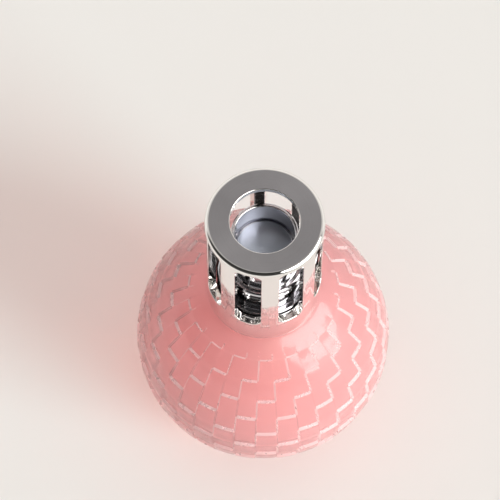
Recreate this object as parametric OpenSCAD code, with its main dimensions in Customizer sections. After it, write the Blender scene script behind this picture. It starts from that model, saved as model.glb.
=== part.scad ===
// Catalytic fragrance lamp, standing on its flattened glass base.
// Every piece is turned about the Z axis. The crown, the snuffer cap and the burner lift off upwards,
// in that order, and neighbouring pieces that move apart keep a small gap.
$fn = 96;

/* [Flask] */
// Outer diameter of the glass ball
ball_d = 93.5; // [92:0.5:95]
// Height of the ball's centre above the table
ball_z = 41; // [40:0.5:42]
// Thickness of the ball's wall
glass_t = 4; // [3:0.5:5]
// Thickness of the glass under the liquid
base_t = 6; // [5:0.5:8]
// Height of the crown's flat seat above the ball's centre
seat_rise = 41.7; // [41.5:0.1:41.9]
// Outer diameter of the glass neck
neck_d = 27; // [26:0.5:27.5]
// Diameter of the bore through the neck
neck_bore = 21; // [20.5:0.5:22]
// Height of the neck above the seat
neck_h = 10.1; // [9:0.1:11]

/* [Collar] */
// Diameter of the collar's two beads
bead_d = 33.8; // [32:0.2:34]
// Diameter of the collar between its beads
waist_d = 31.2; // [30:0.2:32]
// Thickness of the collar's lip over the neck
lip_t = 2.2; // [1.6:0.1:3]
// Thickness of the seal between the glass and the collar
seal_t = 0.6; // [0.4:0.1:1]

/* [Burner] */
// Diameter of the ferrule's flange
flange_d = 25.2; // [24:0.2:25.6]
// Thickness of the ferrule's flange
flange_t = 1.2; // [0.8:0.1:1.5]
// Diameter of the porous head
stone_d = 16.2; // [15:0.2:16.4]
// Height of the porous head above the flange
stone_h = 15; // [13:0.5:16]
// Diameter of the stem that grips the wick
stem_d = 11; // [10.5:0.5:12]
// Length of the stem below the flange
stem_l = 22.5; // [15:0.5:24]
// Diameter of the catalytic core
core_d = 8; // [6:0.5:10]
// Number of vents round the ferrule's cup
vent_n = 12; // [8:1:16]

/* [Wick] */
// Diameter of the wick
wick_d = 6; // [4:0.5:6]

/* [Snuffer cap] */
// Outer diameter of the cap's upper cup
cup_d = 23.8; // [23:0.2:24]
// Wall thickness of the cup
cup_t = 1.5; // [1.2:0.1:1.8]
// Depth of the recess in the cup
recess_h = 11.4; // [10:0.2:11.8]
// Outer diameter of the cap's skirt
skirt_d = 29.2; // [28:0.2:30]
// Height of the cap's skirt
skirt_h = 11.6; // [10:0.2:13]
// Height of the whole cap
cap_h = 32.4; // [31:0.2:33]

/* [Crown] */
// Outer diameter of the slotted tube
tube_d = 41.2; // [40:0.2:42]
// Wall thickness of the tube
tube_t = 3.2; // [2.5:0.1:3.3]
// Height of the crown with its top ring
crown_h = 55; // [54:0.5:57]
// Number of slots
slot_n = 8; // [6:1:8]
// Width of each slot
slot_w = 9.6; // [8:0.2:10]
// Height of each slot
slot_h = 40; // [38:0.5:40]
// Radius of each slot's corners
slot_r = 3; // [1:0.5:4]
// Height of the slots' lower edge above the tube's lower edge
slot_rise = 12; // [11:0.1:12]
// Turn of the first slot from the X axis
slot_turn = 28.4; // [0:0.1:45]
// Outer diameter of the top ring
ring_d = 42; // [41:0.2:43]
// Diameter of the hole in the top ring
hole_d = 24.4; // [24:0.2:26]
// Thickness of the top ring
ring_t = 2; // [1.8:0.1:2.4]
// Rounding of the top ring's outer edge
ring_round = 1.4; // [0.6:0.1:1.6]

/* [Hidden] */

// Vertical gap between pieces that lift apart, and the overlap of every cutter
lift_gap = 0.3;
cut = 1;

// Flask heights
ball_r = ball_d / 2;
inner_r = ball_r - glass_t;
seat_z = ball_z + seat_rise;
neck_top_z = seat_z + neck_h;
// The ball's hollow ends in a cone that leads into the neck
shoulder_low_z = seat_z - 6.7;
shoulder_top_z = seat_z - 1.2;
shoulder_r = 24.5;

// Collar heights and radii
collar_top_z = neck_top_z + lip_t;
mouth_r = neck_bore / 2 + 0.3;
seal_r = neck_d / 2 + seal_t;
bead_h = 2.7;
bead_slope = 0.8;

// Burner heights and radii
flange_z = collar_top_z + lift_gap;
flange_top_z = flange_z + flange_t;
plug_top_r = mouth_r - 0.5;
plug_low_r = plug_top_r - 0.7;
plug_h = 7.3;
cup_h = 4.5;
cup_wall = 1.3;
stone_top_z = flange_top_z + stone_h;
stone_chamfer = 1;
core_pocket_h = 6;
core_stands = 0.8;
vent_w = 1.6;
vent_h = 2.5;
bore_slack = 0.2;
bore_top_z = flange_top_z + 3.5;

// The wick's centre line: straight inside the stem, then hanging freely above the flask's floor
wick_route = [[0, 0, 99], [0, 0, 93], [0, 0, 86], [0, 0, 79.5], [0, 0, 73], [0.2, 0.1, 66.5],
              [0.5, 0.2, 60], [0.8, 0.3, 53], [1.2, 0.3, 46], [1.5, 0.1, 39], [1.6, -0.2, 32],
              [1.5, -0.5, 25.5], [1.2, -0.8, 19], [0.9, -0.9, 13.7], [0.6, -1, 8.5]];
wick_sides = 12;

// Snuffer cap heights and radii
cap_z = collar_top_z + lift_gap + 0.1;
cap_top_z = cap_z + cap_h;
shoulder_z = cap_z + skirt_h;
cup_in_r = cup_d / 2 - cup_t;
skirt_in_r = skirt_d / 2 - 1.4;
floor_z = cap_top_z - recess_h;
floor_t = 1.2;
rim_break = 0.4;
disc_groove = 0.5;
disc_t = 0.8;
liner_h = 3.6;
liner_in_r = stone_d / 2 + cup_wall + 0.4;

// Crown heights and radii
crown_z = seat_z + lift_gap;
tube_h = crown_h - ring_t;
ring_z = crown_z + tube_h;
tube_in_r = tube_d / 2 - tube_t;
spigot_h = 1.2;
spigot_t = 1.4;
spigot_slack = 0.1;

// A ring at height z between two radii
module tube_between(z, h, outer_r, inner_r) {
    translate([0, 0, z]) difference() {
        cylinder(r = outer_r, h = h);
        translate([0, 0, -cut]) cylinder(r = inner_r, h = h + 2 * cut);
    }
}

// A slab of space between two heights, wide enough to trim the ball
module slab(low_z, high_z) {
    translate([-ball_d, -ball_d, low_z]) cube([2 * ball_d, 2 * ball_d, high_z - low_z]);
}

module glass_flask() {
    color("lightpink") difference() {
        union() {
            intersection() {
                translate([0, 0, ball_z]) sphere(r = ball_r);
                slab(0, seat_z);
            }
            translate([0, 0, seat_z - cut]) cylinder(d = neck_d, h = neck_h + cut);
        }
        intersection() {
            translate([0, 0, ball_z]) sphere(r = inner_r);
            slab(base_t, shoulder_low_z);
        }
        translate([0, 0, shoulder_low_z - 0.01])
            cylinder(r1 = shoulder_r, r2 = neck_bore / 2, h = shoulder_top_z - shoulder_low_z);
        translate([0, 0, shoulder_low_z]) cylinder(d = neck_bore, h = 3 * neck_h);
    }
}

module neck_seal() {
    color("dimgray") tube_between(seat_z + 1, neck_h - 1, seal_r, neck_d / 2);
}

module neck_collar() {
    low_bead_z = seat_z + bead_h;
    high_bead_z = collar_top_z - bead_h;
    bead_r = bead_d / 2;
    color("silver") rotate_extrude() polygon([
        [seal_r, seat_z], [bead_r, seat_z], [bead_r, low_bead_z], [waist_d / 2, low_bead_z + bead_slope],
        [waist_d / 2, high_bead_z - bead_slope], [bead_r, high_bead_z], [bead_r, collar_top_z - rim_break],
        [bead_r - rim_break, collar_top_z], [mouth_r, collar_top_z], [mouth_r, neck_top_z],
        [seal_r, neck_top_z]
    ]);
}

module burner_ferrule() {
    stem_r = stem_d / 2;
    cup_r = stone_d / 2 + cup_wall;
    cup_top_z = flange_top_z + cup_h;
    color("lightgray") difference() {
        rotate_extrude() polygon([
            [stem_r, flange_z - plug_h], [plug_low_r, flange_z - plug_h], [plug_top_r, flange_z],
            [flange_d / 2, flange_z], [flange_d / 2, flange_top_z], [cup_r, flange_top_z],
            [cup_r, cup_top_z], [stone_d / 2, cup_top_z], [stone_d / 2, flange_top_z],
            [stem_r, flange_top_z]
        ]);
        for (i = [0 : vent_n - 1])
            rotate(i * 360 / vent_n)
                translate([stone_d / 2 - cut, -vent_w / 2, cup_top_z - vent_h])
                    cube([cup_wall + 2 * cut, vent_w, vent_h + cut]);
    }
}

module burner_stone() {
    head_r = stone_d / 2;
    color("linen") difference() {
        rotate_extrude() polygon([
            [0, flange_top_z - stem_l], [stem_d / 2, flange_top_z - stem_l], [stem_d / 2, flange_top_z],
            [head_r, flange_top_z], [head_r, stone_top_z - stone_chamfer],
            [head_r - stone_chamfer, stone_top_z], [0, stone_top_z]
        ]);
        translate([0, 0, stone_top_z - core_pocket_h]) cylinder(d = core_d, h = core_pocket_h + cut);
        translate([0, 0, flange_top_z - stem_l - cut])
            cylinder(r = wick_d / 2 + bore_slack, h = bore_top_z - flange_top_z + stem_l + cut);
    }
}

module catalyst_core() {
    color("slategray") translate([0, 0, stone_top_z - core_pocket_h])
        cylinder(d = core_d, h = core_pocket_h + core_stands);
}

// Direction of the route at point i, from its neighbours
function heading(route, i) =
    let (a = route[max(i - 1, 0)], b = route[min(i + 1, len(route) - 1)]) (b - a) / norm(b - a);

// One ring of points about the route's point i, square to its heading
function ring_points(route, i, r, sides) =
    let (t = heading(route, i), u = cross(t, [0, 1, 0]) / norm(cross(t, [0, 1, 0])), v = cross(t, u))
    [for (k = [0 : sides - 1]) route[i] + r * (cos(k * 360 / sides) * u + sin(k * 360 / sides) * v)];

// A round tube along a route of points
module swept_tube(route, r, sides) {
    rings = len(route);
    points = [for (i = [0 : rings - 1]) each ring_points(route, i, r, sides)];
    walls = [for (i = [0 : rings - 2], k = [0 : sides - 1])
        let (n = (k + 1) % sides)
        [i * sides + k, (i + 1) * sides + k, (i + 1) * sides + n, i * sides + n]];
    first = [for (k = [0 : sides - 1]) k];
    last = [for (k = [sides - 1 : -1 : 0]) (rings - 1) * sides + k];
    polyhedron(points, concat([first, last], walls));
}

module wick() {
    color("ivory") swept_tube(wick_route, wick_d / 2, wick_sides);
}

module snuffer_shell() {
    cup_r = cup_d / 2;
    skirt_r = skirt_d / 2;
    roof_z = floor_z - floor_t;
    step_break = 2 * rim_break;
    color("silver") rotate_extrude() polygon([
        [skirt_in_r, cap_z], [skirt_r, cap_z], [skirt_r, shoulder_z - step_break],
        [skirt_r - step_break, shoulder_z], [cup_r, shoulder_z], [cup_r, cap_top_z - rim_break],
        [cup_r - rim_break, cap_top_z], [cup_in_r + rim_break, cap_top_z],
        [cup_in_r, cap_top_z - rim_break], [cup_in_r, floor_z], [0, floor_z], [0, roof_z],
        [cup_in_r, roof_z], [cup_in_r, shoulder_z - floor_t], [skirt_in_r, shoulder_z - floor_t]
    ]);
}

module snuffer_disc() {
    color("lightsteelblue") translate([0, 0, floor_z]) cylinder(r = cup_in_r - disc_groove, h = disc_t);
}

module snuffer_liner() {
    color("gainsboro")
        tube_between(flange_top_z + lift_gap + 0.1, liner_h, skirt_in_r, liner_in_r);
}

// One slot, cut along the X axis through the tube's wall
module slot_cutter() {
    length = tube_t + 4;
    translate([tube_in_r - 2, -slot_w / 2, crown_z + slot_rise]) {
        translate([0, slot_r, 0]) cube([length, slot_w - 2 * slot_r, slot_h]);
        translate([0, 0, slot_r]) cube([length, slot_w, slot_h - 2 * slot_r]);
        for (y = [slot_r, slot_w - slot_r], z = [slot_r, slot_h - slot_r])
            translate([0, y, z]) rotate([0, 90, 0]) cylinder(r = slot_r, h = length);
    }
}

module crown_tube() {
    color("gainsboro") difference() {
        tube_between(crown_z, tube_h, tube_d / 2, tube_in_r);
        for (i = [0 : slot_n - 1])
            rotate(slot_turn + i * 360 / slot_n) slot_cutter();
    }
}

module crown_top_ring() {
    ring_r = ring_d / 2;
    hole_r = hole_d / 2;
    spigot_r = tube_in_r - spigot_slack;
    color("darkgray") translate([0, 0, ring_z]) rotate_extrude() {
        translate([hole_r, 0]) square([ring_r - hole_r, ring_t - ring_round]);
        translate([hole_r, 0]) square([ring_r - hole_r - ring_round, ring_t]);
        translate([ring_r - ring_round, ring_t - ring_round]) intersection() {
            circle(r = ring_round);
            square(ring_round);
        }
        translate([spigot_r - spigot_t, -spigot_h]) square([spigot_t, spigot_h + ring_t / 2]);
    }
}

glass_flask();
neck_seal();
neck_collar();
burner_ferrule();
burner_stone();
catalyst_core();
wick();
snuffer_shell();
snuffer_disc();
snuffer_liner();
crown_tube();
crown_top_ring();
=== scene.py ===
"""Catalytic fragrance lamp: a pink tiled glass flask, its wick burner, a snuffer cap and a slotted crown."""

import math

import bpy
from mathutils import Matrix, Vector, noise


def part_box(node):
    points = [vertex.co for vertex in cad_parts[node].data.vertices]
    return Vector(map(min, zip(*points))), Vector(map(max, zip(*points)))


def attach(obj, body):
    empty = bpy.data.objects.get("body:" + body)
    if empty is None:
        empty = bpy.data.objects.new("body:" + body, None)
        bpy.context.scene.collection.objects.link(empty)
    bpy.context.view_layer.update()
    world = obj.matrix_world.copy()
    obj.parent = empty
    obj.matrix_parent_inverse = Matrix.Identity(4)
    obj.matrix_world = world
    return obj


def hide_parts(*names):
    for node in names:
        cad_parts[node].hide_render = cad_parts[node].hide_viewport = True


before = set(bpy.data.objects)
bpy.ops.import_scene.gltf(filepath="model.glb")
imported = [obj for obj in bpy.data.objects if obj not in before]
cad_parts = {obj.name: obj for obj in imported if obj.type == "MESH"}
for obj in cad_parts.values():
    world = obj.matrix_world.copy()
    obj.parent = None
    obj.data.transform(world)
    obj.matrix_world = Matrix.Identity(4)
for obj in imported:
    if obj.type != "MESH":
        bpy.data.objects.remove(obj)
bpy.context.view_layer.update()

MM = 0.001
TURN = 2 * math.pi
NEARLY_ZERO = 1e-6
FILLET_STEPS = 6


# Sizes in millimetres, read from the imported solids

def node_top(node):
    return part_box(node)[1].z / MM


def node_bottom(node):
    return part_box(node)[0].z / MM


def node_radius(node):
    low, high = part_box(node)
    return (high.x - low.x) / 2 / MM


# Flask
BALL_R = 46.75
BALL_Z = 41.0
GLASS_T = 4.0
INNER_R = BALL_R - GLASS_T
FLOOR_Z = 6.0
SEAT_Z = BALL_Z + 41.7
SEAT_R = math.sqrt(BALL_R ** 2 - (SEAT_Z - BALL_Z) ** 2)
NECK_TOP_Z = node_top("glass_flask")
NECK_R = 13.5
NECK_BORE_R = 10.5
CONE_TOP_Z = 81.5
CONE_START = math.radians(50)
SHOULDER_RUN = 6
SHOULDER_FILLET = 28
FLOOR_FILLET_RISE = 3.5
HOLLOW_RINGS = 72
FOOT_OUT_R = math.sqrt(BALL_R ** 2 - BALL_Z ** 2)
FOOT_IN_R = FOOT_OUT_R - 4.5
PUNT_Z = 1.3

# Checkered relief: each tile stands half a step proud of the mean surface or lies half a step below it
TILE_COLUMNS = 36
TILE_FIRST_TURN = 6.85
TILE_ROW_PITCH = 10.17
TILE_FIRST_ROW = 64.3
TILE_ROWS = 13
TILE_HALF_STEP = 0.5
TILE_EDGE = 0.34
RELIEF_TOP = (49.0, 61.0)
RELIEF_FOOT = (-60.0, -57.5)
# How far a tile's step must lean up or left to get the painted highlight: paler glass for the light it
# catches
PAINTED_HIGHLIGHT_LEAN = 0.36

# Metal parts
SEAL_R = node_radius("neck_seal")
BEAD_R = node_radius("neck_collar")
WAIST_R = 15.6
COLLAR_TOP_Z = node_top("neck_collar")
MOUTH_R = 10.8
FLANGE_Z = 95.3
FLANGE_TOP_Z = 96.5
FLANGE_R = node_radius("burner_ferrule")
STEM_R = 5.5
PLUG_LOW_R = 9.6
PLUG_TOP_R = 10.3
STEM_LOW_Z = node_bottom("burner_stone")
STONE_R = node_radius("burner_stone")
STONE_TOP_Z = node_top("burner_stone")
CUP_WALL = 1.3
VENTS = 12
CORE_R = node_radius("catalyst_core")
CORE_LOW_Z = node_bottom("catalyst_core")
CORE_TOP_Z = node_top("catalyst_core")
CAP_Z = node_bottom("snuffer_shell")
CAP_TOP_Z = node_top("snuffer_shell")
CAP_SHOULDER_Z = 107.0
SKIRT_R = node_radius("snuffer_shell")
SKIRT_IN_R = 13.2
CUP_R = 11.9
CUP_IN_R = 10.4
CUP_FLOOR_Z = node_bottom("snuffer_disc")
CUP_ROOF_Z = CUP_FLOOR_Z - 1.2
DISC_R = node_radius("snuffer_disc")
DISC_TOP_Z = node_top("snuffer_disc")
LINER_Z = node_bottom("snuffer_liner")
LINER_TOP_Z = node_top("snuffer_liner")
LINER_IN_R = 9.8
TUBE_Z = node_bottom("crown_tube")
TUBE_TOP_Z = node_top("crown_tube")
TUBE_R = node_radius("crown_tube")
TUBE_IN_R = 17.4
SLOTS = 8
SLOT_HALF = 4.8
SLOT_LOW_Z = 95.0
SLOT_TOP_Z = 135.0
SLOT_CORNER = 3.0
SLOT_CORNER_STEPS = 9
SLOT_FIRST_TURN = 28.4
RING_LOW_Z = node_bottom("crown_top_ring")
RING_TOP_Z = node_top("crown_top_ring")
RING_R = node_radius("crown_top_ring")
HOLE_R = 12.2
SPIGOT_R = 17.3
SPIGOT_T = 1.4

# Wick: the route of its centre line, the same as the solid's
WICK_ROUTE = [(0, 0, 99), (0, 0, 93), (0, 0, 86), (0, 0, 79.5), (0, 0, 73), (0.2, 0.1, 66.5),
              (0.5, 0.2, 60), (0.8, 0.3, 53), (1.2, 0.3, 46), (1.5, 0.1, 39), (1.6, -0.2, 32),
              (1.5, -0.5, 25.5), (1.2, -0.8, 19), (0.9, -0.9, 13.7), (0.6, -1, 8.5)]
WICK_R = 3.0
WICK_STEPS_PER_SPAN = 21

# Stage, lamps and camera; the camera's distances are in metres
FLOOR_COLOUR = (0.800, 0.790, 0.772)
FLOOR_HALF = 3.0
KEY_TURN = math.radians(58.3)
KEY_RISE = math.radians(16.4)
KEY_WIDTH = math.radians(32)
KEY_POWER = 4.5
SHEEN_TURN = math.radians(68)
SHEEN_RISE = math.radians(43)
SHEEN_WIDTH = math.radians(56)
SHEEN_POWER = 4.0
STUDIO_COLOUR = (1.0, 0.975, 0.94, 1)
AMBIENT_LIGHT = 0.66
WALL_LIGHT = 0.95
CEILING_LIGHT = 0.58
FRONT_LIGHT = 0.06
VIEW_RISE = math.radians(65.15)
VIEW_ROLL = math.radians(-0.45)
VIEW_DISTANCE = 1.264
VIEW_ASIDE = 0.00483
VIEW_ABOVE = 0.03069
LENS = 244.8


# Mesh building

def make_object(name, vertices, faces, normals=None, face_materials=None, sharp_angle=None):
    """A smooth mesh object from points in millimetres, with exact normals where they are given."""
    mesh = bpy.data.meshes.new(name)
    mesh.from_pydata([Vector(v) * MM for v in vertices], [], faces)
    mesh.validate()
    mesh.shade_smooth()
    if face_materials is not None:
        mesh.polygons.foreach_set("material_index", face_materials)
    if normals is not None:
        mesh.normals_split_custom_set_from_vertices([tuple(n) for n in normals])
    if sharp_angle is not None:
        mesh.set_sharp_from_angle(angle=math.radians(sharp_angle))
    mesh.update()
    piece = bpy.data.objects.new(name, mesh)
    bpy.context.scene.collection.objects.link(piece)
    return piece


def place(piece, body, node, slot, *materials):
    """Puts the materials on a piece, ties it to its body and hides the imported solid of its node; slot is
    not used.
    """
    for material in materials:
        piece.data.materials.append(material)
    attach(piece, body)
    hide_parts(node)
    return piece


def rounded_outline(corners, closed=True, steps=5):
    """Points and outward normals of an outline of (r, z, fillet) corners, with the solid on its left."""
    points = []
    normals = []
    count = len(corners)
    for i, (r, z, fillet) in enumerate(corners):
        here = Vector((r, z))
        before = Vector(corners[(i - 1) % count][:2]) - here
        after = Vector(corners[(i + 1) % count][:2]) - here
        if not closed and i in (0, count - 1):
            along = after if i == 0 else -before
            points.append(here)
            normals.append(Vector((0, 1 if along.x < 0 else -1)))
            continue
        before.normalize()
        after.normalize()
        half = before.angle(after) / 2
        centre = here + (before + after).normalized() * fillet / math.sin(half)
        start = here + before * fillet / math.tan(half) - centre
        end = here + after * fillet / math.tan(half) - centre
        convex = before.x * after.y - before.y * after.x < 0
        sweep = start.angle(end)
        for k in range(steps + 1):
            share = k / steps
            arm = (start * math.sin((1 - share) * sweep) + end * math.sin(share * sweep)) / math.sin(sweep)
            points.append(centre + arm)
            normals.append(arm.normalized() if convex else -arm.normalized())
    return points, normals


def lathe(name, corners, closed=True, steps=5, segments=192, second_material=None):
    """A turned piece. second_material(point, normal) says which stretches take the second material."""
    points, outline_normals = rounded_outline(corners, closed, steps)
    vertices = []
    normals = []
    rings = []
    for (r, z), (nr, nz) in zip(points, outline_normals):
        if r < NEARLY_ZERO:
            rings.append([len(vertices)] * segments)
            vertices.append((0, 0, z))
            normals.append((0, 0, nz))
            continue
        rings.append(range(len(vertices), len(vertices) + segments))
        for k in range(segments):
            c, s = math.cos(TURN * k / segments), math.sin(TURN * k / segments)
            vertices.append((r * c, r * s, z))
            normals.append((nr * c, nr * s, nz))
    faces = []
    chosen = []
    last = len(points) if closed else len(points) - 1
    for i in range(last):
        low, high = rings[i], rings[(i + 1) % len(points)]
        second = bool(second_material) and all(
            second_material(points[j % len(points)], outline_normals[j % len(points)]) for j in (i, i + 1))
        for k in range(segments):
            n = (k + 1) % segments
            faces.append(tuple(dict.fromkeys((low[k], low[n], high[n], high[k]))))
            chosen.append(1 if second else 0)
    return make_object(name, vertices, faces, normals, chosen)


def smooth_step(x):
    x = min(max(x, 0.0), 1.0)
    return x * x * (3 - 2 * x)


# The flask's tiled glass

def tile_wave(distance):
    """-1 to 1 across a tile's edge, from the distance to it in millimetres."""
    return math.copysign(smooth_step(abs(distance) / TILE_EDGE), distance)


def tile_sign(position):
    """The square wave over whole tiles, and the distance in tiles from the nearest edge, with its sign."""
    edge = round(position)
    offset = position - edge
    return (-1 if edge % 2 else 1), offset


def relief_radius(turn, latitude):
    """The ball's outer radius, in millimetres, at a turn from the front and a latitude, in degrees."""
    strength = 1 - smooth_step((latitude - RELIEF_TOP[0]) / (RELIEF_TOP[1] - RELIEF_TOP[0]))
    strength *= smooth_step((latitude - RELIEF_FOOT[0]) / (RELIEF_FOOT[1] - RELIEF_FOOT[0]))
    column_pitch = 360 / TILE_COLUMNS
    parity, offset = tile_sign((turn - TILE_FIRST_TURN) / column_pitch)
    ring_r = BALL_R * math.cos(math.radians(latitude))
    across = parity * tile_wave(math.radians(offset * column_pitch) * ring_r)
    parity, offset = tile_sign((TILE_FIRST_ROW - latitude) / TILE_ROW_PITCH)
    down = parity * tile_wave(math.radians(offset * TILE_ROW_PITCH) * BALL_R)
    return BALL_R - TILE_HALF_STEP * strength * (1 - across * down)


def relief_point(turn, latitude):
    radius = relief_radius(turn, latitude)
    a, b = math.radians(turn), math.radians(latitude)
    return Vector((radius * math.cos(b) * math.sin(a), -radius * math.cos(b) * math.cos(a),
                   BALL_Z + radius * math.sin(b)))


def relief_normal(turn, latitude):
    small = 0.02
    along = relief_point(turn + small, latitude) - relief_point(turn - small, latitude)
    up = relief_point(turn, latitude + small) - relief_point(turn, latitude - small)
    return along.cross(up).normalized()


def is_painted_highlight_edge(point, *normals):
    """Whether a step between tiles faces up or, seen from outside, left: there the glass gets a painted
    highlight, a paler colour for the light these steps catch.
    """
    out = (Vector(point) - Vector((0, 0, BALL_Z))).normalized()
    left = Vector((0, 0, -1)).cross(out).normalized()
    up = left.cross(out)
    lean = sum((Vector(n) for n in normals), Vector()) / len(normals) - out
    return max(lean.dot(left), lean.dot(up)) > PAINTED_HIGHLIGHT_LEAN


def tile_lines(edge_share):
    """Positions across one tile, in tiles: two lines on each half of its edges and three across its face."""
    face = 1 - 2 * edge_share
    return [0, edge_share / 2, edge_share, edge_share + face * 0.25, 0.5, 1 - edge_share - face * 0.25,
            1 - edge_share, 1 - edge_share / 2]


def ring_turns(latitude):
    """Turns of one ring's points, in degrees, that follow the tiles' edges."""
    pitch = 360 / TILE_COLUMNS
    edge_share = TILE_EDGE / (math.radians(pitch) * BALL_R * math.cos(math.radians(latitude)))
    lines = tile_lines(edge_share)
    return [TILE_FIRST_TURN + (k + x) * pitch for k in range(TILE_COLUMNS) for x in lines]


def relief_latitudes(low, high):
    """Latitudes of the relief's rings, from low to high, that follow the rows' edges."""
    edge_share = TILE_EDGE / (math.radians(TILE_ROW_PITCH) * BALL_R)
    lines = tile_lines(edge_share)
    found = [TILE_FIRST_ROW - (row + x) * TILE_ROW_PITCH for row in range(TILE_ROWS) for x in lines]
    return [low] + sorted(x for x in found if low + 0.3 < x < high - 0.3) + [high]


def ball_arc(radius, low_z, high_z, rings):
    """Outline points and inward normals of the ball's hollow, from the upper height down to the lower."""
    low = math.asin((low_z - BALL_Z) / radius)
    high = math.asin((high_z - BALL_Z) / radius)
    found = []
    for k in range(rings + 1):
        a = low + (high - low) * k / rings
        found.append((Vector((radius * math.cos(a), BALL_Z + radius * math.sin(a))),
                      Vector((-math.cos(a), -math.sin(a)))))
    return found[::-1]


def outline_piece(corners, first, last):
    """The (point, normal) pairs of an open outline's rounded points, from first to last."""
    points, normals = rounded_outline(corners, closed=False, steps=FILLET_STEPS)
    return list(zip(points, normals))[first:last]


def flask_outline_below():
    """From the middle of the underside to the edge of the ball."""
    low = math.radians(RELIEF_FOOT[0] - 1)
    ball = (BALL_R * math.cos(low), BALL_Z + BALL_R * math.sin(low))
    corners = [(0, PUNT_Z, 0), (FOOT_IN_R - 3, PUNT_Z, 4), (FOOT_IN_R, 0, 1), (FOOT_OUT_R, 0, 1.0),
               ball + (0,)]
    return outline_piece(corners, 0, -1)


def flask_outline_above():
    """From the ball's edge over the seat and the neck, and from there down the bore and round the hollow."""
    high = math.asin((SEAT_Z - BALL_Z) / BALL_R) - 0.03
    start = Vector((INNER_R * math.cos(CONE_START), BALL_Z + INNER_R * math.sin(CONE_START)))
    bend = start + Vector((-math.sin(CONE_START), math.cos(CONE_START))) * SHOULDER_RUN
    ball = (BALL_R * math.cos(high), BALL_Z + BALL_R * math.sin(high))
    corners = [ball + (0,), (SEAT_R, SEAT_Z, 0.4), (NECK_R, SEAT_Z, 0.7), (NECK_R, NECK_TOP_Z, 1.2),
               (NECK_BORE_R, NECK_TOP_Z, 1.2), (NECK_BORE_R, CONE_TOP_Z, 2.5),
               (bend.x, bend.y, SHOULDER_FILLET), (start.x, start.y, 0)]
    above = outline_piece(corners, 1, -1)
    outer_points = 4 * (FILLET_STEPS + 1)
    outside = above[:outer_points]
    bore = above[outer_points:]
    hollow = ball_arc(INNER_R, FLOOR_Z + FLOOR_FILLET_RISE, start.y, HOLLOW_RINGS)
    edge = hollow[-1][0]
    floor_r = math.sqrt(INNER_R ** 2 - (BALL_Z - FLOOR_Z) ** 2)
    floor = outline_piece([(edge.x, edge.y, 0), (floor_r, FLOOR_Z, 5), (0, FLOOR_Z, 0)], 1, 3)
    return outside, bore + hollow + floor


def make_flask():
    top_latitude = math.degrees(math.asin((SEAT_Z - BALL_Z) / BALL_R)) - 1.4
    foot_latitude = RELIEF_FOOT[0] - 0.2
    vertices = []
    normals = []
    rings = []

    def add_ring(points):
        rings.append(list(range(len(vertices), len(vertices) + len(points))))
        for point, normal in points:
            vertices.append(point)
            normals.append(normal)

    def turned_ring(point, normal, turns):
        if point.x < NEARLY_ZERO:
            rings.append([len(vertices)] * len(turns))
            vertices.append((0, 0, point.y))
            normals.append((0, 0, normal.y))
            return
        ring = []
        for turn in turns:
            a = math.radians(turn)
            ring.append(((point.x * math.sin(a), -point.x * math.cos(a), point.y),
                         (normal.x * math.sin(a), -normal.x * math.cos(a), normal.y)))
        add_ring(ring)

    for point, normal in flask_outline_below():
        turned_ring(point, normal, ring_turns(foot_latitude))
    first_relief = len(rings)
    for latitude in relief_latitudes(foot_latitude, top_latitude):
        add_ring([(relief_point(t, latitude), relief_normal(t, latitude)) for t in ring_turns(latitude)])
    last_relief = len(rings) - 1
    outside, hollow = flask_outline_above()
    for point, normal in outside:
        turned_ring(point, normal, ring_turns(top_latitude))
    outer_rings = len(rings)
    for point, normal in hollow:
        turned_ring(point, normal, ring_turns(top_latitude))

    faces = []
    chosen = []
    count = len(rings[-2])
    for i in range(len(rings) - 1):
        low, high = rings[i], rings[i + 1]
        for k in range(count):
            n = (k + 1) % count
            faces.append(tuple(dict.fromkeys((low[k], low[n], high[n], high[k]))))
            if i >= outer_rings - 1:
                chosen.append(1)
            # Steps that face up or left take material 2, a painted highlight: paler, more matt glass
            elif first_relief <= i < last_relief and is_painted_highlight_edge(vertices[low[k]], normals[low[k]],
                                                                    normals[high[n]]):
                chosen.append(2)
            else:
                chosen.append(0)
    return make_object("flask_glass", vertices, faces, normals, chosen)


# The crown's slotted tube

def slot_outline(side_steps=8, end_steps=6):
    """The slot's outline as (y, z) points with outward normals, anticlockwise up its right side."""
    half_height = (SLOT_TOP_Z - SLOT_LOW_Z) / 2
    flat_y, flat_z = SLOT_HALF - SLOT_CORNER, half_height - SLOT_CORNER
    found = []

    def side(start, end, normal, steps):
        for k in range(steps):
            found.append((start + (end - start) * k / steps, normal))

    def corner(y, z, from_angle):
        for k in range(SLOT_CORNER_STEPS):
            a = from_angle + math.pi / 2 * k / SLOT_CORNER_STEPS
            out = Vector((math.cos(a), math.sin(a)))
            found.append((Vector((y, z)) + out * SLOT_CORNER, out))

    side(Vector((SLOT_HALF, -flat_z)), Vector((SLOT_HALF, flat_z)), Vector((1, 0)), side_steps)
    corner(flat_y, flat_z, 0)
    side(Vector((flat_y, half_height)), Vector((-flat_y, half_height)), Vector((0, 1)), end_steps)
    corner(-flat_y, flat_z, math.pi / 2)
    side(Vector((-SLOT_HALF, flat_z)), Vector((-SLOT_HALF, -flat_z)), Vector((-1, 0)), side_steps)
    corner(-flat_y, -flat_z, math.pi)
    side(Vector((-flat_y, -half_height)), Vector((flat_y, -half_height)), Vector((0, -1)), end_steps)
    corner(flat_y, -flat_z, 3 * math.pi / 2)
    return [(point + Vector((0, SLOT_LOW_Z + half_height)), normal) for point, normal in found]


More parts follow.
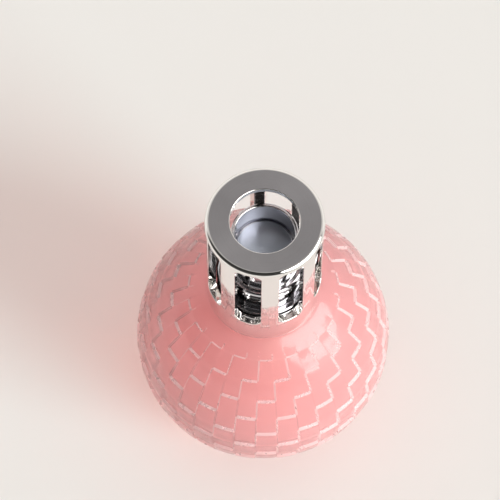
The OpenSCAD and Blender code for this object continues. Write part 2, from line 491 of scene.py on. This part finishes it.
def cell_border(point, normal, low_z, high_z):
    """Where a point of the slot's outline meets the border of its eighth of the tube: (turn, height)."""
    half_turn = math.pi / SLOTS
    mid_z = (SLOT_LOW_Z + SLOT_TOP_Z) / 2
    side_z = mid_z + math.copysign((SLOT_TOP_Z - SLOT_LOW_Z) / 2 - SLOT_CORNER, point.y - mid_z)
    end_z = high_z if point.y > mid_z else low_z
    end_turn = math.copysign(math.asin((SLOT_HALF - SLOT_CORNER) / TUBE_R), point.x)
    side_turn = math.copysign(half_turn, point.x)
    if abs(normal.y) < NEARLY_ZERO:
        return side_turn, point.y
    if abs(normal.x) < NEARLY_ZERO:
        return math.asin(point.x / TUBE_R), end_z
    share = math.atan2(abs(normal.y), abs(normal.x)) / (math.pi / 2)
    along_side = abs(end_z - side_z)
    along_end = (half_turn - abs(end_turn)) * TUBE_R
    steps = SLOT_CORNER_STEPS
    corner_share = max(round(along_side / (along_side + along_end) * steps), 1) / steps
    if share <= corner_share:
        return side_turn, side_z + (end_z - side_z) * share / corner_share
    back = (share - corner_share) / (1 - corner_share)
    return side_turn + (end_turn - side_turn) * back, end_z


class SharedMesh:
    """Vertices shared by their place, so that neighbouring cells are joined."""

    def __init__(self):
        self.index = {}
        self.vertices = []
        self.normals = []
        self.faces = []
        self.face_materials = []

    def vertex(self, point, normal):
        key = tuple(round(x, 4) for x in point)
        if key not in self.index:
            self.index[key] = len(self.vertices)
            self.vertices.append(tuple(point))
            self.normals.append(tuple(normal.normalized()))
        return self.index[key]

    def face(self, corners, material=0):
        kept = tuple(dict.fromkeys(corners))
        if len(kept) > 2:
            self.faces.append(kept)
            self.face_materials.append(material)


def make_crown_tube():
    edge = 0.35
    web_steps = 5
    fillet_steps = 4
    rim = 0.25
    outline = slot_outline()
    count = len(outline)
    mesh = SharedMesh()

    def on_tube(radius, turn, z, cell_turn):
        a = turn + cell_turn
        return Vector((radius * math.cos(a), radius * math.sin(a), z)), Vector((math.cos(a), math.sin(a), 0))

    def slot_point(radius, offset, j, cell_turn):
        point, normal = outline[j]
        y, z = point + normal * offset
        return on_tube(radius, math.asin(y / radius), z, cell_turn)

    def wall(radius, sign, cell_turn):
        """Rings from the slot's fillet to the cell's border."""
        found = []
        for step in range(web_steps + 1):
            share = step / web_steps
            ring = []
            for j in range(count):
                y, z = outline[j][0] + outline[j][1] * edge
                turn = math.asin(y / radius)
                border_turn, border_z = cell_border(*outline[j], TUBE_Z + rim, TUBE_TOP_Z - rim)
                point, out = on_tube(radius, turn + (border_turn - turn) * share, z + (border_z - z) * share,
                                     cell_turn)
                ring.append(mesh.vertex(point, out * sign))
            found.append(ring)
        return found

    def cheek(cell_turn):
        """Rings over the outer fillet, through the tube and over the inner fillet, without wall()'s."""
        found = []
        c, s = math.cos(cell_turn), math.sin(cell_turn)
        for side, base in ((1, TUBE_R - edge), (-1, TUBE_IN_R + edge)):
            part = []
            for step in range(1, fillet_steps + 1):
                a = math.pi / 2 * step / fillet_steps
                ring = []
                for j in range(count):
                    radius = base + side * edge * math.cos(a)
                    point, out = slot_point(radius, edge * (1 - math.sin(a)), j, cell_turn)
                    n = outline[j][1]
                    into_slot = Vector((s * n.x, -c * n.x, -n.y))
                    ring.append(mesh.vertex(point, out * side * math.cos(a) + into_slot * math.sin(a)))
                part.append(ring)
            found += part if side > 0 else part[::-1]
        return found

    for k in range(SLOTS):
        cell_turn = math.radians(SLOT_FIRST_TURN) + TURN * k / SLOTS
        outside = wall(TUBE_R, 1, cell_turn)[::-1] + cheek(cell_turn)
        rings = outside + wall(TUBE_IN_R, -1, cell_turn)
        for i in range(len(rings) - 1):
            # The inner wall takes the second material: painted shade, a near-black metal
            bore = 1 if i >= len(outside) else 0
            for j in range(count):
                n = (j + 1) % count
                mesh.face((rings[i][j], rings[i][n], rings[i + 1][n], rings[i + 1][j]), bore)
        for end_z, side in ((TUBE_Z, -1), (TUBE_TOP_Z, 1)):
            border = [cell_border(*outline[j], TUBE_Z + rim, TUBE_TOP_Z - rim) for j in range(count)]
            for j in range(count):
                n = (j + 1) % count
                at_end = end_z - side * rim
                if max(abs(border[j][1] - at_end), abs(border[n][1] - at_end)) > NEARLY_ZERO:
                    continue
                strips = []
                for turn in (border[j][0], border[n][0]):
                    strip = []
                    for radius, way in ((TUBE_R, 1), (TUBE_IN_R, -1)):
                        part = []
                        for step in range(4):
                            a = math.pi / 2 * step / 3
                            point, out = on_tube(radius - way * rim * (1 - math.cos(a)), turn,
                                                 at_end + side * rim * math.sin(a), cell_turn)
                            normal = out * way * math.cos(a) + Vector((0, 0, side)) * math.sin(a)
                            part.append(mesh.vertex(point, normal))
                        strip += part if way > 0 else part[::-1]
                    strips.append(strip)
                for i in range(len(strips[0]) - 1):
                    mesh.face((strips[0][i], strips[0][i + 1], strips[1][i + 1], strips[1][i]))
    return make_object("crown_tube_slotted", mesh.vertices, mesh.faces, mesh.normals, mesh.face_materials)


# Turned pieces

def make_top_ring():
    outline = [(HOLE_R, RING_LOW_Z + 1.2, 0.15), (SPIGOT_R - SPIGOT_T, RING_LOW_Z + 1.2, 0.1),
               (SPIGOT_R - SPIGOT_T, RING_LOW_Z, 0.2), (SPIGOT_R, RING_LOW_Z, 0.2),
               (SPIGOT_R, RING_LOW_Z + 1.2, 0.1), (RING_R, RING_LOW_Z + 1.2, 0.2),
               (RING_R, RING_TOP_Z, 1.4), (HOLE_R, RING_TOP_Z, 0.3)]

    def on_face(point, normal):
        return normal.y > 0.995 and point.y > RING_TOP_Z - 0.02

    return lathe("crown_ring", outline, steps=10, segments=256, second_material=on_face)


def make_snuffer():
    bead_z = CAP_SHOULDER_Z - 2.6
    outline = [(0, CUP_ROOF_Z, 0), (CUP_IN_R, CUP_ROOF_Z, 0.5), (CUP_IN_R, CAP_SHOULDER_Z - 1.2, 0.4),
               (SKIRT_IN_R, CAP_SHOULDER_Z - 1.2, 0.8), (SKIRT_IN_R, CAP_Z, 0.3), (SKIRT_R, CAP_Z, 0.35),
               (SKIRT_R, bead_z - 0.5, 0.1), (SKIRT_R - 0.4, bead_z - 0.15, 0.1),
               (SKIRT_R - 0.4, bead_z + 0.15, 0.1), (SKIRT_R, bead_z + 0.5, 0.3),
               (SKIRT_R, CAP_SHOULDER_Z, 1.2), (CUP_R, CAP_SHOULDER_Z, 0.5), (CUP_R, CAP_TOP_Z, 0.5),
               (CUP_IN_R, CAP_TOP_Z, 0.5), (CUP_IN_R, CUP_FLOOR_Z, 0.3), (0, CUP_FLOOR_Z, 0)]
    return lathe("snuffer_cap", outline, closed=False, steps=6, segments=224)


def make_snuffer_disc():
    outline = [(0, CUP_FLOOR_Z, 0), (DISC_R, CUP_FLOOR_Z, 0.15), (DISC_R, DISC_TOP_Z, 0.3),
               (DISC_R - 1.2, DISC_TOP_Z, 2), (0, DISC_TOP_Z - 0.05, 0)]
    return lathe("snuffer_floor_disc", outline, closed=False, steps=5, segments=192)


def make_liner():
    outline = [(LINER_IN_R, LINER_Z, 0.3), (SKIRT_IN_R, LINER_Z, 0.3), (SKIRT_IN_R, LINER_TOP_Z, 0.3),
               (LINER_IN_R, LINER_TOP_Z, 0.3), (LINER_IN_R, LINER_Z + 2.6, 0.15),
               (LINER_IN_R + 0.4, LINER_Z + 2.2, 0.15), (LINER_IN_R + 0.4, LINER_Z + 1.4, 0.15),
               (LINER_IN_R, LINER_Z + 1.0, 0.15)]
    return lathe("snuffer_seal_ring", outline, steps=4)


def make_collar():
    outline = [(SEAL_R, SEAT_Z, 0.2), (BEAD_R, SEAT_Z, 1.0), (BEAD_R, SEAT_Z + 2.7, 1.0),
               (WAIST_R, SEAT_Z + 3.5, 0.6), (WAIST_R, COLLAR_TOP_Z - 3.5, 0.6),
               (BEAD_R, COLLAR_TOP_Z - 2.7, 1.0), (BEAD_R, COLLAR_TOP_Z, 0.9), (MOUTH_R, COLLAR_TOP_Z, 0.4),
               (MOUTH_R, NECK_TOP_Z, 0.2), (SEAL_R, NECK_TOP_Z, 0.2)]
    return lathe("neck_collar_turned", outline, steps=7, segments=224)


def make_seal():
    groove = 0.15
    heights = [node_bottom("neck_seal") + x for x in (0, 2.6, 3.0, 3.4, 6.0, 6.4, 6.8)]
    top = node_top("neck_seal")
    outline = [(NECK_R, heights[0], 0.1), (SEAL_R, heights[0], 0.15)]
    for low, mid, high in (heights[1:4], heights[4:7]):
        outline += [(SEAL_R, low, 0.1), (SEAL_R - groove, mid, 0.1), (SEAL_R, high, 0.1)]
    outline += [(SEAL_R, top, 0.15), (NECK_R, top, 0.1)]
    return lathe("neck_seal_sleeve", outline, steps=3)


def cut_boxes(piece, boxes):
    """Cuts boxes, each (centre, size, turn) in millimetres, out of a piece."""
    cube_faces = [(0, 1, 3, 2), (4, 6, 7, 5), (0, 4, 5, 1), (2, 3, 7, 6), (0, 2, 6, 4), (1, 5, 7, 3)]
    vertices = []
    faces = []
    for centre, size, turn in boxes:
        start = len(vertices)
        spin = Matrix.Rotation(turn, 3, "Z")
        for x in (-0.5, 0.5):
            for y in (-0.5, 0.5):
                for z in (-0.5, 0.5):
                    corner = Vector(centre) + Vector((x * size[0], y * size[1], z * size[2]))
                    vertices.append(spin @ corner)
        faces += [tuple(start + i for i in face) for face in cube_faces]
    cutter = make_object("cutter", vertices, faces)
    cut = piece.modifiers.new("vents", "BOOLEAN")
    cut.operation = "DIFFERENCE"
    cut.solver = "EXACT"
    cut.object = cutter
    soften = piece.modifiers.new("soften", "BEVEL")
    soften.width = 0.12 * MM
    soften.segments = 2
    soften.limit_method = "ANGLE"
    soften.angle_limit = math.radians(50)
    depsgraph = bpy.context.evaluated_depsgraph_get()
    mesh = bpy.data.meshes.new_from_object(piece.evaluated_get(depsgraph))
    piece.modifiers.clear()
    piece.data = mesh
    mesh.shade_smooth()
    mesh.set_sharp_from_angle(angle=math.radians(32))
    bpy.data.objects.remove(cutter)


def make_ferrule():
    cup_r = STONE_R + CUP_WALL
    cup_top = FLANGE_TOP_Z + 4.5
    plug_low = FLANGE_Z - 7.3
    outline = [(STEM_R, plug_low, 0.2), (PLUG_LOW_R, plug_low, 0.5), (PLUG_TOP_R, FLANGE_Z, 0.3),
               (FLANGE_R, FLANGE_Z, 0.3), (FLANGE_R, FLANGE_TOP_Z, 0.4), (cup_r, FLANGE_TOP_Z, 0.4),
               (cup_r, cup_top, 0.3),
               (STONE_R, cup_top, 0.3), (STONE_R, FLANGE_TOP_Z, 0.15), (STEM_R, FLANGE_TOP_Z, 0.15)]
    piece = lathe("burner_ferrule_vented", outline, steps=4, segments=144)
    vent_w, vent_h = 1.6, 2.5
    boxes = [((cup_r - CUP_WALL / 2, 0, cup_top - vent_h / 2 + 0.5), (CUP_WALL + 1, vent_w, vent_h + 1),
              TURN * k / VENTS) for k in range(VENTS)]
    cut_boxes(piece, boxes)
    return piece


def roughen(piece, depth, scale):
    """Moves the surface in by a fine uneven depth, in millimetres, as on fired ceramic."""
    mesh = piece.data
    directions = [vertex.normal.copy() for vertex in mesh.vertices]
    for vertex, direction in zip(mesh.vertices, directions):
        grain = noise.noise(vertex.co / MM * scale)
        vertex.co -= direction * depth * MM * (0.5 + 0.5 * grain)
    mesh.update()


def subdivided(points, longest):
    """The points of an outline with more between them, so that no stretch is longer than longest."""
    found = []
    for (r1, z1, fillet), (r2, z2, _) in zip(points, points[1:]):
        found.append((r1, z1, fillet))
        pieces = int(math.hypot(r2 - r1, z2 - z1) / longest)
        for k in range(1, pieces):
            found.append((r1 + (r2 - r1) * k / pieces, z1 + (z2 - z1) * k / pieces, 0))
    return found + [points[-1]]


def plain_lathe(name, points, segments):
    """A turned piece from unrounded points, from the axis back to the axis."""
    vertices = []
    rings = []
    for r, z in points:
        if r < NEARLY_ZERO:
            rings.append([len(vertices)] * segments)
            vertices.append((0, 0, z))
            continue
        rings.append(range(len(vertices), len(vertices) + segments))
        vertices += [(r * math.cos(TURN * k / segments), r * math.sin(TURN * k / segments), z)
                     for k in range(segments)]
    faces = []
    for low, high in zip(rings, rings[1:]):
        for k in range(segments):
            n = (k + 1) % segments
            faces.append(tuple(dict.fromkeys((low[k], low[n], high[n], high[k]))))
    return make_object(name, vertices, faces, sharp_angle=50)


def fine_outline(corners, longest):
    """A rounded open outline with long stretches divided, for a surface that gets roughened."""
    points, _ = rounded_outline(corners, closed=False, steps=4)
    fine = subdivided([(p.x, p.y, 0) for p in points], longest)
    return [(r, z) for r, z, _ in fine]


def make_stone():
    bore_r = WICK_R + 0.2
    bore_top = FLANGE_TOP_Z + 3.5
    corners = [(0, bore_top, 0), (bore_r, bore_top, 0.3), (bore_r, STEM_LOW_Z, 0.3),
               (STEM_R, STEM_LOW_Z, 0.6), (STEM_R, FLANGE_TOP_Z, 0.2), (STONE_R, FLANGE_TOP_Z, 0.3),
               (STONE_R, STONE_TOP_Z - 1, 0.5),
               (STONE_R - 1, STONE_TOP_Z, 0.5), (CORE_R, STONE_TOP_Z, 0.3), (CORE_R, CORE_LOW_Z, 0.2),
               (0, CORE_LOW_Z, 0)]
    piece = plain_lathe("burner_stone_porous", fine_outline(corners, 0.5), 128)
    roughen(piece, 0.1, 2.2)
    return piece


def make_core():
    dish_z = CORE_TOP_Z - 0.3
    corners = [(0, CORE_LOW_Z, 0), (CORE_R, CORE_LOW_Z, 0.2), (CORE_R, CORE_TOP_Z, 0.4),
               (CORE_R - 1.2, CORE_TOP_Z, 0.3), (CORE_R - 1.6, dish_z, 0.3), (0, dish_z, 0)]
    piece = plain_lathe("catalyst_plug", fine_outline(corners, 0.35), 96)
    roughen(piece, 0.06, 3.1)
    return piece


# The wick

def spline_points(route, per_span):
    """A smooth curve through a route's points."""
    ends = [Vector(p) for p in route]
    padded = [2 * ends[0] - ends[1]] + ends + [2 * ends[-1] - ends[-2]]
    found = []
    for i in range(1, len(padded) - 2):
        a, b, c, d = padded[i - 1:i + 3]
        for k in range(per_span):
            t = k / per_span
            found.append(0.5 * (2 * b + (c - a) * t + (2 * a - 5 * b + 4 * c - d) * t ** 2
                                + (3 * b - 3 * c + d - a) * t ** 3))
    return found + [ends[-1]]


def braid_height(turn, length):
    """0 to 1 height of a round braid of eight strands each way, at a turn and a length along it."""
    strands = 8
    lay = 2.7
    u = (strands * turn + lay * length) / 2
    v = (strands * turn - lay * length) / 2
    over = abs(math.cos(u)) * (0.5 + 0.5 * math.copysign(1, math.cos(u)) * math.cos(v))
    under = abs(math.cos(v)) * (0.5 - 0.5 * math.copysign(1, math.cos(v)) * math.cos(u))
    return max(over, under)


def make_wick():
    sides = 64
    depth = 0.42
    path = spline_points(WICK_ROUTE, WICK_STEPS_PER_SPAN)
    vertices = []
    rings = []
    travelled = 0.0
    for i, point in enumerate(path):
        ahead = path[min(i + 1, len(path) - 1)] - path[max(i - 1, 0)]
        ahead.normalize()
        across = ahead.cross(Vector((0, 1, 0))).normalized()
        third = ahead.cross(across)
        if i:
            travelled += (point - path[i - 1]).length
        rings.append(range(len(vertices), len(vertices) + sides))
        for k in range(sides):
            a = TURN * k / sides
            radius = WICK_R - depth * (1 - braid_height(a, travelled))
            vertices.append(point + across * radius * math.cos(a) + third * radius * math.sin(a))
    faces = []
    for low, high in zip(rings, rings[1:]):
        for k in range(sides):
            n = (k + 1) % sides
            faces.append((low[k], high[k], high[n], low[n]))
    for ring, way in ((rings[0], 1), (rings[-1], -1)):
        middle = len(vertices)
        vertices.append(sum((Vector(vertices[j]) for j in ring), Vector()) / sides)
        for k in range(sides):
            pair = (ring[k], ring[(k + 1) % sides])
            faces.append((middle,) + (pair if way > 0 else pair[::-1]))
    piece = make_object("cotton_wick", vertices, faces, sharp_angle=60)
    length = sum((b - a).length for a, b in zip(path, path[1:]))
    return piece, [tuple(p * MM) for p in path], length * MM


# Materials

class Nodes:
    """A material and short ways to add and link its nodes."""

    def __init__(self, name):
        self.material = bpy.data.materials.new(name)
        self.material.use_nodes = True
        self.tree = self.material.node_tree
        self.tree.nodes.clear()
        self.output = self.tree.nodes.new("ShaderNodeOutputMaterial")
        self.shader = self.tree.nodes.new("ShaderNodeBsdfPrincipled")
        self.link(self.shader.outputs["BSDF"], self.output.inputs["Surface"])

    def link(self, source, target):
        self.tree.links.new(source, target)

    def set(self, **values):
        for key, value in values.items():
            self.shader.inputs[key.replace("_", " ")].default_value = value

    def position(self):
        return self.tree.nodes.new("ShaderNodeTexCoord").outputs["Object"]

    def noise(self, scale, detail=3.0, roughness=0.5, vector=None):
        node = self.tree.nodes.new("ShaderNodeTexNoise")
        node.inputs["Scale"].default_value = scale
        node.inputs["Detail"].default_value = detail
        node.inputs["Roughness"].default_value = roughness
        self.link(self.position() if vector is None else vector, node.inputs["Vector"])
        return node.outputs["Fac"]

    def range(self, value, low, high, from_low=0.3, from_high=0.7):
        node = self.tree.nodes.new("ShaderNodeMapRange")
        numbers = {"From Min": from_low, "From Max": from_high, "To Min": low, "To Max": high}
        for key, number in numbers.items():
            node.inputs[key].default_value = number
        self.link(value, node.inputs["Value"])
        return node.outputs["Result"]

    def ramp(self, value, *stops):
        node = self.tree.nodes.new("ShaderNodeValToRGB")
        elements = node.color_ramp.elements
        while len(elements) < len(stops):
            elements.new(0.5)
        for element, (position, colour) in zip(elements, stops):
            element.position = position
            element.color = (*colour, 1)
        self.link(value, node.inputs["Fac"])
        return node.outputs["Color"]

    def bump(self, height, strength, distance, after=None):
        node = self.tree.nodes.new("ShaderNodeBump")
        node.inputs["Strength"].default_value = strength
        node.inputs["Distance"].default_value = distance
        self.link(height, node.inputs["Height"])
        if after is not None:
            self.link(after, node.inputs["Normal"])
        return node.outputs["Normal"]

    def radius(self):
        """Distance from the Z axis, as a vector along X."""
        split = self.tree.nodes.new("ShaderNodeSeparateXYZ")
        self.link(self.position(), split.inputs[0])
        flat = self.tree.nodes.new("ShaderNodeCombineXYZ")
        self.link(split.outputs["X"], flat.inputs["X"])
        self.link(split.outputs["Y"], flat.inputs["Y"])
        length = self.tree.nodes.new("ShaderNodeVectorMath")
        length.operation = "LENGTH"
        self.link(flat.outputs[0], length.inputs[0])
        line = self.tree.nodes.new("ShaderNodeCombineXYZ")
        self.link(length.outputs["Value"], line.inputs["X"])
        return line.outputs[0]


def let_light_through(nodes, tint):
    """Lamps shine through the surface with this tint, instead of casting a black shadow."""
    clear = nodes.tree.nodes.new("ShaderNodeBsdfTransparent")
    clear.inputs["Color"].default_value = (*tint, 1)
    path = nodes.tree.nodes.new("ShaderNodeLightPath")
    mix = nodes.tree.nodes.new("ShaderNodeMixShader")
    nodes.link(path.outputs["Is Shadow Ray"], mix.inputs["Fac"])
    nodes.link(nodes.shader.outputs["BSDF"], mix.inputs[1])
    nodes.link(clear.outputs["BSDF"], mix.inputs[2])
    nodes.link(mix.outputs["Shader"], nodes.output.inputs["Surface"])


def glass_outside():
    """The flask's glossy outer surface, with the slight waviness of moulded glass."""
    n = Nodes("pink_glass_outside")
    n.set(Base_Color=(0.98, 0.66, 0.67, 1), IOR=1.5, Transmission_Weight=1.0)
    n.link(n.range(n.noise(90, 3), 0.13, 0.20), n.shader.inputs["Roughness"])
    n.link(n.bump(n.noise(110, 2), 0.25, 0.0004), n.shader.inputs["Normal"])
    let_light_through(n, (0.92, 0.80, 0.78))
    return n.material


def glass_painted_highlight():
    """Painted highlight on the tiles' steps that face up or, seen from outside, left: more matt and paler
    than the rest, for the light these steps catch.
    """
    n = Nodes("pink_glass_painted_highlight")
    n.set(Base_Color=(0.96, 0.75, 0.755, 1), IOR=1.5, Transmission_Weight=0.65)
    n.link(n.range(n.noise(300, 3), 0.24, 0.34), n.shader.inputs["Roughness"])
    let_light_through(n, (0.92, 0.80, 0.78))
    return n.material


def glass_inside():
    """The flask's satin pink inner surface."""
    n = Nodes("pink_glass_inside")
    n.set(Base_Color=(0.84, 0.57, 0.58, 1), IOR=1.5, Transmission_Weight=0.55)
    n.link(n.range(n.noise(70, 4), 0.38, 0.48), n.shader.inputs["Roughness"])
    n.link(n.bump(n.noise(1400, 3, 0.6), 0.15, 0.0001), n.shader.inputs["Normal"])
    let_light_through(n, (0.77, 0.54, 0.50))
    return n.material


def polished(name, colour, rough_low, rough_high):
    """Bright plating with faint polishing haze."""
    n = Nodes(name)
    n.set(Base_Color=(*colour, 1), Metallic=1.0)
    n.link(n.range(n.noise(220, 5, 0.6), rough_low, rough_high), n.shader.inputs["Roughness"])
    n.link(n.bump(n.noise(150, 2), 0.04, 0.0004), n.shader.inputs["Normal"])
    return n.material


def painted_shade_bore():
    """The crown's inner wall, painted near-black as the shade inside the crown, with faint cloudy changes of
    tone and roughness.
    """
    n = Nodes("painted_shade_bore_metal")
    n.set(Metallic=1.0)
    cloud = n.noise(160, 3)
    colour = n.ramp(cloud, (0.3, (0.045, 0.040, 0.038)), (0.7, (0.075, 0.068, 0.065)))
    n.link(colour, n.shader.inputs["Base Color"])
    n.link(n.range(cloud, 0.22, 0.32), n.shader.inputs["Roughness"])
    return n.material


def turned_satin(name, colour, rough_low, rough_high, groove):
    """Metal with fine concentric turning marks."""
    n = Nodes(name)
    n.set(Metallic=1.0, Anisotropic=0.35)
    tangent = n.tree.nodes.new("ShaderNodeTangent")
    tangent.direction_type = "RADIAL"
    tangent.axis = "Z"
    n.link(tangent.outputs["Tangent"], n.shader.inputs["Tangent"])
    rings = n.noise(9000, 2, 0.6, n.radius())
    cloud = n.noise(120, 3)
    dark = tuple(x * 0.93 for x in colour)
    n.link(n.ramp(cloud, (0.3, dark), (0.7, colour)), n.shader.inputs["Base Color"])
    n.link(n.range(rings, rough_low, rough_high), n.shader.inputs["Roughness"])
    n.link(n.bump(rings, groove, 0.00003), n.shader.inputs["Normal"])
    return n.material


def porous(name, light, dark, pore):
    """Fired ceramic: grains of two tones and open pores."""
    n = Nodes(name)
    n.set(Specular_IOR_Level=0.25)
    grain = n.noise(1600, 4, 0.7)
    n.link(n.ramp(grain, (0.35, dark), (0.55, light)), n.shader.inputs["Base Color"])
    n.link(n.range(grain, 0.95, 0.8), n.shader.inputs["Roughness"])
    n.link(n.bump(grain, 0.7, pore), n.shader.inputs["Normal"])
    return n.material


def cotton():
    """Off-white cotton yarn with fine fibres in two tones."""
    n = Nodes("cotton_yarn")
    n.set(Sheen_Weight=0.4, Sheen_Roughness=0.5, Specular_IOR_Level=0.2)
    fibre = n.noise(5200, 3, 0.7)
    colour = n.ramp(fibre, (0.3, (0.70, 0.66, 0.56)), (0.7, (0.86, 0.83, 0.75)))
    n.link(colour, n.shader.inputs["Base Color"])
    n.link(n.range(fibre, 0.98, 0.85), n.shader.inputs["Roughness"])
    n.link(n.bump(fibre, 0.5, 0.0001), n.shader.inputs["Normal"])
    return n.material


def seal_rubber(name, colour, see_through=0.0):
    """Soft moulded seal material with a fine bloom."""
    n = Nodes(name)
    n.set(Transmission_Weight=see_through, IOR=1.42)
    bloom = n.noise(500, 4, 0.6)
    pale = tuple(min(x * 1.2, 1) for x in colour)
    n.link(n.ramp(bloom, (0.35, colour), (0.7, pale)), n.shader.inputs["Base Color"])
    n.link(n.range(bloom, 0.55, 0.72), n.shader.inputs["Roughness"])
    n.link(n.bump(bloom, 0.25, 0.00008), n.shader.inputs["Normal"])
    return n.material


def floor_material():
    """Pale matt paper."""
    n = Nodes("pale_paper")
    n.set(Specular_IOR_Level=0.0)
    speck = n.noise(35, 3)
    n.link(n.ramp(speck, (0.3, FLOOR_COLOUR), (0.7, tuple(x * 1.004 for x in FLOOR_COLOUR))),
           n.shader.inputs["Base Color"])
    n.set(Roughness=1.0)
    return n.material


# Stage

def make_floor():
    size = FLOOR_HALF
    mesh = bpy.data.meshes.new("floor")
    corners = [(-size, -size, 0), (size, -size, 0), (size, size, 0), (-size, size, 0)]
    mesh.from_pydata(corners, [], [(0, 1, 2, 3)])
    floor = bpy.data.objects.new("floor", mesh)
    bpy.context.scene.collection.objects.link(floor)
    mesh.materials.append(floor_material())
    floor.location.z = -0.00002


def make_lamp(name, turn, rise, width, power):
    """A large soft lamp far away, at a turn from the front to the right and a rise above the floor."""
    lamp = bpy.data.lights.new(name, "SUN")
    lamp.energy = power
    lamp.angle = width
    lamp.color = (1.0, 0.985, 0.96)
    source = bpy.data.objects.new(name, lamp)
    bpy.context.scene.collection.objects.link(source)
    towards = Vector((math.sin(turn) * math.cos(rise), -math.cos(turn) * math.cos(rise), math.sin(rise)))
    source.rotation_mode = "QUATERNION"
    source.rotation_quaternion = towards.to_track_quat("Z", "Y")
    return source


def make_lamps():
    """The key lamp lights the scene and throws the shadow; the soft box only shows as a sheen."""
    key = make_lamp("key", KEY_TURN, KEY_RISE, KEY_WIDTH, KEY_POWER)
    key.visible_glossy = False
    key.visible_transmission = False
    sheen = make_lamp("soft_box", SHEEN_TURN, SHEEN_RISE, SHEEN_WIDTH, SHEEN_POWER)
    sheen.visible_diffuse = False
    sheen.visible_transmission = False


def make_world():
    """A pale studio. Polished surfaces mirror its bright back, its greyer ceiling and its dark front."""
    world = bpy.data.worlds.new("studio")
    bpy.context.scene.world = world
    world.use_nodes = True
    tree = world.node_tree
    tree.nodes.clear()

    def add(kind, **values):
        node = tree.nodes.new(kind)
        for key, value in values.items():
            setattr(node, key, value)
        return node

    def step(value, start, end, low, high):
        node = add("ShaderNodeMapRange", interpolation_type="SMOOTHSTEP")
        for key, number in (("From Min", start), ("From Max", end), ("To Min", low), ("To Max", high)):
            node.inputs[key].default_value = number
        tree.links.new(value, node.inputs["Value"])
        return node.outputs["Result"]

    def combine(operation, first, second):
        node = add("ShaderNodeMath", operation=operation)
        for k, value in enumerate((first, second)):
            if isinstance(value, float):
                node.inputs[k].default_value = value
            else:
                tree.links.new(value, node.inputs[k])
        return node.outputs["Value"]

    direction = add("ShaderNodeSeparateXYZ")
    tree.links.new(add("ShaderNodeTexCoord").outputs["Generated"], direction.inputs[0])
    height = direction.outputs["Z"]
    back = direction.outputs["Y"]
    walls = step(height, 0.45, 0.93, WALL_LIGHT, CEILING_LIGHT)
    behind = step(back, 0.10, 0.34, FRONT_LIGHT, 1.0)
    low = step(height, 0.10, 0.22, 1.0, 0.0)
    mirrored = combine("MULTIPLY", walls, combine("MAXIMUM", behind, low))
    path = add("ShaderNodeLightPath")
    reflected = combine("SUBTRACT", 1.0, path.outputs["Is Transmission Ray"])
    glossy = combine("MULTIPLY", path.outputs["Is Glossy Ray"], reflected)
    share = combine("MULTIPLY", glossy, combine("SUBTRACT", mirrored, AMBIENT_LIGHT))
    background = add("ShaderNodeBackground")
    background.inputs["Color"].default_value = STUDIO_COLOUR
    tree.links.new(combine("ADD", share, AMBIENT_LIGHT), background.inputs["Strength"])
    output = add("ShaderNodeOutputWorld")
    tree.links.new(background.outputs[0], output.inputs["Surface"])


def make_camera():
    """A long lens looking down at the lamp from the front."""
    data = bpy.data.cameras.new("camera")
    data.lens = LENS
    data.sensor_width = 36
    data.clip_start = 0.01
    data.clip_end = 50
    camera = bpy.data.objects.new("camera", data)
    bpy.context.scene.collection.objects.link(camera)
    ahead = Vector((0, math.cos(VIEW_RISE), -math.sin(VIEW_RISE)))
    side = Vector((1, 0, 0))
    up = Vector((0, math.sin(VIEW_RISE), math.cos(VIEW_RISE)))
    right = math.cos(VIEW_ROLL) * side - math.sin(VIEW_ROLL) * up
    above = math.sin(VIEW_ROLL) * side + math.cos(VIEW_ROLL) * up
    middle = Vector((0, 0, BALL_Z * MM))
    where = middle - VIEW_DISTANCE * ahead - VIEW_ASIDE * right + VIEW_ABOVE * above
    pose = Matrix((right, above, -ahead)).transposed().to_4x4()
    pose.translation = where
    camera.matrix_world = pose
    bpy.context.scene.camera = camera


def build_object():
    chrome = polished("polished_plating", (0.915, 0.895, 0.87), 0.03, 0.075)
    shaded_chrome = polished("shaded_plating", (0.62, 0.61, 0.64), 0.09, 0.14)
    # The third glass material is a painted highlight on the tiles' up- and left-facing steps
    glass = (glass_outside(), glass_inside(), glass_painted_highlight())
    place(make_flask(), "flask", "glass_flask", "pink_glass", *glass)
    place(make_seal(), "flask", "neck_seal", "grey_seal", seal_rubber("grey_rubber", (0.13, 0.13, 0.135)))
    place(make_collar(), "flask", "neck_collar", "polished_metal", shaded_chrome)
    ferrule_metal = turned_satin("ferrule_aluminium", (0.74, 0.73, 0.71), 0.16, 0.26, 0.2)
    place(make_ferrule(), "burner", "burner_ferrule", "ferrule_metal", ferrule_metal)
    stone = porous("fired_stone", (0.84, 0.80, 0.73), (0.60, 0.54, 0.46), 0.0002)
    place(make_stone(), "burner", "burner_stone", "porous_ceramic", stone)
    catalyst = porous("dark_catalyst", (0.26, 0.25, 0.245), (0.08, 0.08, 0.085), 0.0002)
    place(make_core(), "burner", "catalyst_core", "catalyst_ceramic", catalyst)
    wick, path, length = make_wick()
    place(wick, "burner", "wick", "cotton", cotton())
    place(make_snuffer(), "snuffer", "snuffer_shell", "polished_metal", shaded_chrome)
    disc_metal = turned_satin("satin_disc_metal", (0.53, 0.57, 0.66), 0.42, 0.5, 0.15)
    place(make_snuffer_disc(), "snuffer", "snuffer_disc", "satin_disc", disc_metal)
    silicone = seal_rubber("clear_silicone", (0.72, 0.72, 0.70), 0.4)
    place(make_liner(), "snuffer", "snuffer_liner", "clear_seal", silicone)
    # The crown tube's inner wall gets painted shade, a near-black metal
    place(make_crown_tube(), "crown", "crown_tube", "polished_metal", chrome, painted_shade_bore())
    ring_metal = turned_satin("ring_satin", (0.40, 0.385, 0.40), 0.26, 0.34, 0.2)
    place(make_top_ring(), "crown", "crown_top_ring", "satin_metal", chrome, ring_metal)


make_camera()
build_object()
make_floor()
make_lamps()
make_world()
bpy.context.scene.view_settings.view_transform = "Standard"
